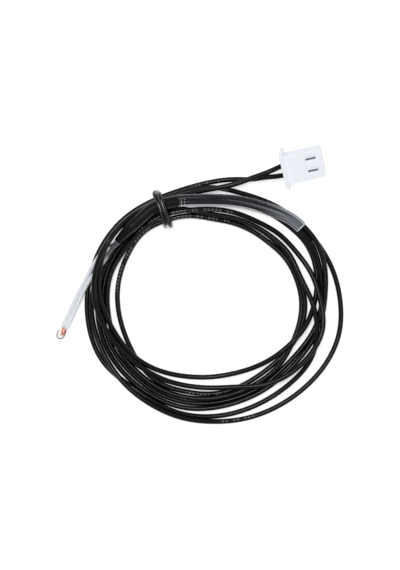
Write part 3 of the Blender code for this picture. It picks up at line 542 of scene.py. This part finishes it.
def clear_finish(name, face, painted_edge, shares, rim, roughness, light_and_shade_along, highlight_streak=None, highlight_rings=()):
    """A clear stock: a faint veil where it faces the eye, denser towards its edges.

    face is its colour where it faces the eye, and the second colour is painted towards its
    outline, as painted light and shade there. shares are how much of what lies behind is hidden
    at the middle and at the edges, rim where the one goes over into the other, and the veil's
    change with the millimetres along it (from, to, and its strength at both) paints light and
    shade along it. The streak colour is that of painted highlight streaks along it, and the
    rings are painted highlights round it at its cut ends: place, half width, and the count of
    painted highlight specks round the tube or 0. The specks show best towards the inside of the
    coil.
    """
    made = stock_finish(name, face, roughness)
    tree = made.node_tree
    shader = tree.nodes["Principled BSDF"]
    facing = shader_node(tree, "LayerWeight", Blend=FACING_BLEND).outputs["Facing"]
    uv_map = shader_node(tree, "UVMap")
    uv_map.uv_map = "along"
    place = shader_node(tree, "SeparateXYZ", Vector=uv_map.outputs["UV"])
    share = ranged(tree, facing, *rim, *shares)
    # The veil changes along it: painted light and shade.
    share = reckoned(tree, "MULTIPLY", share, ranged(tree, place.outputs["X"], *light_and_shade_along))
    colour = face
    # Painted highlight streaks along it.
    if highlight_streak:
        drawn = tree.nodes.new("ShaderNodeVectorMath")
        drawn.operation = "MULTIPLY"
        tree.links.new(uv_map.outputs["UV"], drawn.inputs[0])
        drawn.inputs[1].default_value = HIGHLIGHT_STREAK_STRETCH
        drawn = shader_node(tree, "TexNoise", Vector=drawn.outputs["Vector"], Scale=1.0, Detail=2.0)
        colour = blended(tree, ranged(tree, drawn.outputs["Fac"], *HIGHLIGHT_STREAK_RANGE), face, highlight_streak)
    # Painted light and shade towards its outline.
    colour = blended(tree, ranged(tree, facing, *rim), colour, painted_edge)
    # Pale rings of painted highlight at its cut ends, specked round the tube.
    for at, half, highlight_specks in highlight_rings:
        highlight_ring = reckoned(tree, "COMPARE", place.outputs["X"], at, half)
        if highlight_specks:
            beat = reckoned(tree, "FRACT", reckoned(tree, "MULTIPLY", place.outputs["Y"], float(highlight_specks)))
            highlight_ring = reckoned(tree, "MULTIPLY", highlight_ring, reckoned(tree, "LESS_THAN", beat, 0.5))
            highlight_ring = reckoned(tree, "MULTIPLY", highlight_ring, ranged(tree, place.outputs["Y"], *HIGHLIGHT_SPECKS_INWARD))
        colour = blended(tree, highlight_ring, colour, CUT_EDGE_HIGHLIGHT)
        share = reckoned(tree, "MAXIMUM", share, reckoned(tree, "MULTIPLY", highlight_ring, CUT_EDGE_HIGHLIGHT_SHARE))
    tree.links.new(colour, shader.inputs["Base Color"])
    tree.links.new(share, shader.inputs["Alpha"])
    return made


tube_length = shrink_start * STEP
clear_tube = round_skin(
    "clear_tube_skin", chain_line[: shrink_start + 1], CLEAR_TUBE_DIAMETER / 2, sides=28, open_ends=True
)
clear_tube.data.materials.append(
    clear_finish(
        "clear_tubing", TUBE_FACE, TUBE_EDGE_REFLECTION, shares=(0.28, 0.6), rim=(0.2, 0.45), roughness=0.12,
        light_and_shade_along=(0.0, 9.0, 2.4, 0.6), highlight_streak=TUBE_HIGHLIGHT_STREAK,
        highlight_rings=((0.12, 0.14, 0), (tube_length - 0.5, 0.1, 16), (tube_length - 1.15, 0.1, 14)),
    )
)
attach(clear_tube, "root")
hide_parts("clear_tube")

# Legs: two copper-clad wires, bare in the glass, that run back through the sleeves to their
# joints. Inside the sleeves they look silvery; next to the heat-shrink they are painted dark,
# as painted shade where they lie in among the wires.
LEG_DIAMETER = 0.42
LEG_STEP = 0.2
SLEEVE_POINTS_FOLLOWED = slice(None, -6, 8)
LEG_COPPERS = {"outer": (0.9, 0.24, 0.1), "inner": (0.55, 0.085, 0.055)}
# Painted shade: the legs are dark for their first millimetres, next to the heat-shrink.
LEG_SILVER, LEG_SHADE = (0.9, 0.92, 0.97), (0.06, 0.065, 0.08)
SHADE_UNTIL, SILVER_FROM = 3.5, 6.0
SILVER_UNTIL, COPPER_FROM = 2.2, 1.8
LEGS_IN_GLASS = {
    "outer": ((-30.53, -5.50), (-30.70, -6.06), (-30.90, -6.67), (-31.08, -7.12)),
    "inner": ((-30.10, -5.91), (-30.16, -6.37), (-30.43, -6.88), (-30.72, -7.25)),
}
for tag, replaced in (("outer", "lead_wire_a"), ("inner", "lead_wire_b")):
    in_sleeve = sleeve_lines[tag][SLEEVE_POINTS_FOLLOWED]
    in_glass = np.column_stack([LEGS_IN_GLASS[tag], np.full(len(LEGS_IN_GLASS[tag]), BEAD_HEIGHT)])
    leg_line = even_curve(np.vstack([in_sleeve, in_glass]), LEG_STEP)
    leg_length = float(np.linalg.norm(np.diff(leg_line, axis=0), axis=1).sum())
    leg = round_skin(f"leg_{tag}", leg_line, LEG_DIAMETER / 2, sides=10)
    coppered = stock_finish(f"leg_{tag}", LEG_COPPERS[tag], 0.35)
    tree = coppered.node_tree
    uv_map = shader_node(tree, "UVMap")
    uv_map.uv_map = "along"
    place = shader_node(tree, "SeparateXYZ", Vector=uv_map.outputs["UV"])
    part_way = reckoned(tree, "DIVIDE", place.outputs["X"], leg_length)
    ramp = shader_node(tree, "ValToRGB", Fac=part_way)
    stops = ramp.color_ramp.elements
    stops[0].position, stops[0].color = SHADE_UNTIL / leg_length, (*LEG_SHADE, 1.0)
    stops[1].position, stops[1].color = 1 - COPPER_FROM / leg_length, (*LEG_COPPERS[tag], 1.0)
    stops.new(SILVER_FROM / leg_length).color = (*LEG_SILVER, 1.0)
    stops.new(1 - SILVER_UNTIL / leg_length).color = (*LEG_SILVER, 1.0)
    tree.links.new(ramp.outputs["Color"], tree.nodes["Principled BSDF"].inputs["Base Color"])
    leg.data.materials.append(coppered)
    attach(leg, "root")
    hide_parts(replaced)

# Bead and chip: an oxide ceramic pellet between the two legs, sealed in a drop of molten glass
# that has a neck behind, where the legs come out, and a round tip ahead.
BEAD_CENTRE = (-31.03, -6.95)
BEAD_RADIUS, BEAD_NECK = 0.93, 0.5
BEAD_BEHIND, BEAD_AHEAD = 1.5, 1.2
NECK_RINGS, TIP_RINGS = 15, 18
TIP_END = 0.485 * math.pi
# The drop is cream where it faces the eye, with a dark rim of painted shade towards its outline that
# fades towards the neck.
BEAD_FACE, BEAD_RIM_SHADE = (0.97, 0.9, 0.82), (0.03, 0.022, 0.018)
frame["nodes"]["thermistor_chip"].material_slots[0].material = stock_finish(
    "chip_ceramic", (0.75, 0.62, 0.5), 0.5
)
bead_run = np.concatenate([
    np.linspace(-BEAD_BEHIND, 0, NECK_RINGS + 1)[:-1],
    BEAD_AHEAD * np.sin(np.linspace(0, TIP_END, TIP_RINGS)),
])
behind = np.cos(np.pi / 2 * np.clip(-bead_run / BEAD_BEHIND, 0, 1))
bead_radii = np.where(
    bead_run < 0,
    BEAD_NECK + (BEAD_RADIUS - BEAD_NECK) * behind,
    BEAD_RADIUS * np.sqrt(np.clip(1 - (bead_run / BEAD_AHEAD) ** 2, 0, 1)),
)
bead_line = np.column_stack(
    [np.array(BEAD_CENTRE) + bead_run[:, None] * bead_ahead, np.full(len(bead_run), BEAD_HEIGHT)]
)
bead = round_skin("bead_drop", bead_line, bead_radii, sides=28)
bead.data.materials.append(
    clear_finish(
        "bead_glass", BEAD_FACE, BEAD_RIM_SHADE, shares=(0.12, 1.0), rim=(0.18, 0.29), roughness=0.04,
        light_and_shade_along=(0.4, 2.5, 0.15, 1.0),
    )
)
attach(bead, "root")
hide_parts("glass_bead")

# Sleeves: thin clear extruded tubing, one over each leg, slid on before the leg is soldered to
# its wire. Their far ends go into the heat-shrink; there their veil is thin, so that the legs'
# painted shade and what lies below show through and they look darker. Their edges are painted a
# little darker as painted shade, and their faint streaks are painted highlights.
# Painted shade towards the sleeves' edges, and faint painted highlight streaks.
SLEEVE_FACE, SLEEVE_EDGE_SHADE = (0.92, 0.95, 1.0), (0.8, 0.84, 0.92)
SLEEVE_HIGHLIGHT_STREAK = (0.93, 0.95, 1.0)
sleeve_clear = clear_finish(
    "clear_sleeving", SLEEVE_FACE, SLEEVE_EDGE_SHADE, shares=(0.42, 0.6), rim=(0.2, 0.6), roughness=0.25,
    light_and_shade_along=(3.5, 7.0, 0.15, 2.0), highlight_streak=SLEEVE_HIGHLIGHT_STREAK,
)
for tag, replaced in (("outer", "sleeve_a"), ("inner", "sleeve_b")):
    sleeve = round_skin(f"sleeve_{tag}", sleeve_lines[tag], SLEEVE_DIAMETER / 2, sides=16)
    sleeve.data.materials.append(sleeve_clear)
    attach(sleeve, "root")
    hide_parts(replaced)

# Joints: the end of each leg is soldered to its wire with tin solder. The two lie side by side
# under the heat-shrink, and keep the solids' shape.
solder = stock_finish("solder", (0.5, 0.5, 0.52), 0.35, metallic=1.0)
for name in ("splice_a", "splice_b"):
    frame["nodes"][name].material_slots[0].material = solder

# Heat-shrink: black polyolefin tubing, shrunk with hot air over the two joints, the tube's end
# and the ends of the sleeves, where it is drawn in.
shrink_radii = radius_of["outer"][shrink_start:chain_length]
heat_shrink = round_skin("heat_shrink_sleeve", chain_line[shrink_start:], shrink_radii, sides=24)
heat_shrink.data.materials.append(
    stock_finish("shrink_black", (0.004, 0.004, 0.0045), 0.4, specular=0.14)
)
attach(heat_shrink, "root")
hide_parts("heat_shrink")

# Contacts: tin-plated strip, stamped to shape, with a barrel that is rolled round the wire's
# bare end in a crimping tool.
# The tin is painted dark bluish: painted shade for the contacts seen deep in the plug's windows.
tin = stock_finish("tin_plate", (0.2, 0.24, 0.3), 0.3, metallic=1.0)
for name in ("terminal_a", "terminal_b"):
    frame["nodes"][name].material_slots[0].material = tin

# Plug housing: moulded white nylon, with a cavity for each contact. The contacts are pushed in
# from behind until their lances catch at the windows.
frame["nodes"]["connector_housing"].material_slots[0].material = stock_finish(
    "white_nylon", (0.9, 0.93, 0.98), 0.42
)

# Tie: a small ring of glossy black elastic, stretched twice round the whole bundle once the
# lead is wound. Its two windings change places at the outer end, and on top one leans on the
# other.
TIE_THICKNESS = 0.94
TIE_LENGTH = 8.26
TIE_LEAN = math.radians(42.0)
TIE_CLEARANCE, WINDING_GAP = 0.05, 0.04
TIE_SQUARENESS, TIE_SPLAY = 0.625, 0.25
SWAP_FROM, SWAP_RUN = 0.6, 0.8
LEAN_FROM, LEAN_RUN = -0.6, 1.2
TIE_STEPS, TIE_SIDES = 160, 12


def eased(share):
    """A share from 0 to 1 with a soft start and end."""
    share = min(1.0, max(0.0, share))
    return share * share * (3 - 2 * share)


tie_low = TIE_CLEARANCE + TIE_THICKNESS / 2
beneath = chain_line[np.argmin(np.linalg.norm(chain_line[:, :2] - TIE_CENTRE, axis=1))]
tie_top = beneath[2] + (SHRINK_DIAMETER + TIE_THICKNESS) / 2 + TIE_CLEARANCE
tie_rise = (tie_top - tie_low) / 2
half_gap = (TIE_THICKNESS + WINDING_GAP) / 2
tie_reach = (TIE_LENGTH - TIE_THICKNESS) / 2 - half_gap / 2
tie_line = []
for k in range(TIE_STEPS):
    turn = 4 * math.pi * k / TIE_STEPS
    across, up = (math.copysign(abs(x) ** TIE_SQUARENESS, x) for x in (math.cos(turn), math.sin(turn)))
    twist = math.pi * eased((turn % (2 * math.pi) / math.pi - SWAP_FROM) / SWAP_RUN)
    twist += math.pi if turn >= 2 * math.pi else 0
    twist -= TIE_LEAN * eased((up - LEAN_FROM) / LEAN_RUN)
    splay = 1 + TIE_SPLAY * max(0.0, across)
    out = half_gap * math.sin(twist)
    flat_place = TIE_CENTRE - tie_run * (half_gap / 2 + (tie_reach + out) * across)
    flat_place = flat_place + tie_side * half_gap * math.cos(twist) * splay
    tie_line.append((*flat_place, tie_low + tie_rise + (tie_rise + out) * up))
tie_line = np.array(tie_line)
ahead = np.roll(tie_line, -1, axis=0) - np.roll(tie_line, 1, axis=0)
ahead /= np.linalg.norm(ahead, axis=1)[:, None]
outward = np.cross(ahead, [*tie_side, 0.0])
outward /= np.linalg.norm(outward, axis=1)[:, None]
sideways = np.cross(outward, ahead)
tie_skin = np.stack(
    [
        tie_line + TIE_THICKNESS / 2 * (math.cos(a) * outward + math.sin(a) * sideways)
        for a in 2 * math.pi * np.arange(TIE_SIDES) / TIE_SIDES
    ],
    axis=1,
)
tie_faces = [
    (i * TIE_SIDES + k, i * TIE_SIDES + (k + 1) % TIE_SIDES,
     (i + 1) % TIE_STEPS * TIE_SIDES + (k + 1) % TIE_SIDES, (i + 1) % TIE_STEPS * TIE_SIDES + k)
    for i in range(TIE_STEPS)
    for k in range(TIE_SIDES)
]
tie = placed_skin("round_tie", tie_skin.reshape(-1, 3), tie_faces)
tie.data.materials.append(stock_finish("tie_rubber", (0.003, 0.003, 0.003), 0.17, specular=0.6))
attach(tie, "root")
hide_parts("tie")

# The picture: a white table seen from straight above, under a broad soft light. The table also
# glows a little where it is seen, so that it looks white and still takes the lead's shadow.
TABLE_HALF_WIDTH = 3
TABLE_DROP = 0.0001
TABLE_GLOW = 0.46
scene = bpy.context.scene
scene.view_settings.view_transform = "Standard"
table_mesh = bpy.data.meshes.new("floor")
table_mesh.from_pydata(
    [(x * TABLE_HALF_WIDTH, y * TABLE_HALF_WIDTH, 0) for x, y in ((-1, -1), (1, -1), (1, 1), (-1, 1))],
    [],
    [(0, 1, 2, 3)],
)
table = bpy.data.objects.new("floor", table_mesh)
scene.collection.objects.link(table)
table.location.z = -TABLE_DROP
table_white = bpy.data.materials.new("white_table")
table_white.use_nodes = True
tree = table_white.node_tree
shader = tree.nodes["Principled BSDF"]
shader.inputs["Base Color"].default_value = (0.94, 0.94, 0.94, 1.0)
shader.inputs["Roughness"].default_value = 0.9
shader.inputs["Specular IOR Level"].default_value = 0.0
rays = shader_node(tree, "LightPath")
seen = reckoned(
    tree, "MAXIMUM", rays.outputs["Is Camera Ray"], rays.outputs["Is Transmission Ray"]
)
seen = reckoned(tree, "MAXIMUM", seen, rays.outputs["Is Glossy Ray"])
glow = shader_node(
    tree, "Emission", Color=(1.0, 1.0, 1.0, 1.0), Strength=reckoned(tree, "MULTIPLY", seen, TABLE_GLOW)
)
both = tree.nodes.new("ShaderNodeAddShader")
tree.links.new(shader.outputs["BSDF"], both.inputs[0])
tree.links.new(glow.outputs["Emission"], both.inputs[1])
tree.links.new(both.outputs["Shader"], tree.nodes["Material Output"].inputs["Surface"])
table_mesh.materials.append(table_white)

world = bpy.data.worlds.new("studio")
scene.world = world
world.use_nodes = True
world.node_tree.nodes["Background"].inputs["Color"].default_value = (1.0, 1.0, 1.0, 1.0)
world.node_tree.nodes["Background"].inputs["Strength"].default_value = 0.52
for name, place, size, power in (
    ("key", (-0.08, 0.12, 0.75), 0.2, 2.3),
    ("fill", (0.5, -0.25, 0.5), 0.5, 0.5),
):
    lamp = bpy.data.lights.new(name, "AREA")
    lamp.size = size
    lamp.energy = power
    lit = bpy.data.objects.new(name, lamp)
    scene.collection.objects.link(lit)
    lit.location = place
    lit.rotation_euler = (-Vector(place)).to_track_quat("-Z", "Y").to_euler()

# The camera looks straight down, and the picture is 570 pixels high at 4.87 to the millimetre
# at the height where most of the wires lie.
PICTURE_HEIGHT = 117.04
PICTURE_MIDDLE = (-2.46, 3.08)
WIRES_HEIGHT = 1.5
CAMERA_HEIGHT = 330.0
SENSOR = 36.0
camera = bpy.data.cameras.new("camera")
camera.sensor_fit = "VERTICAL"
camera.sensor_height = SENSOR
camera.lens = SENSOR * CAMERA_HEIGHT / PICTURE_HEIGHT
camera.clip_start = 0.01
eye = bpy.data.objects.new("camera", camera)
scene.collection.objects.link(eye)
eye.location = Vector(to_frame((*PICTURE_MIDDLE, CAMERA_HEIGHT + WIRES_HEIGHT)))
scene.camera = eye
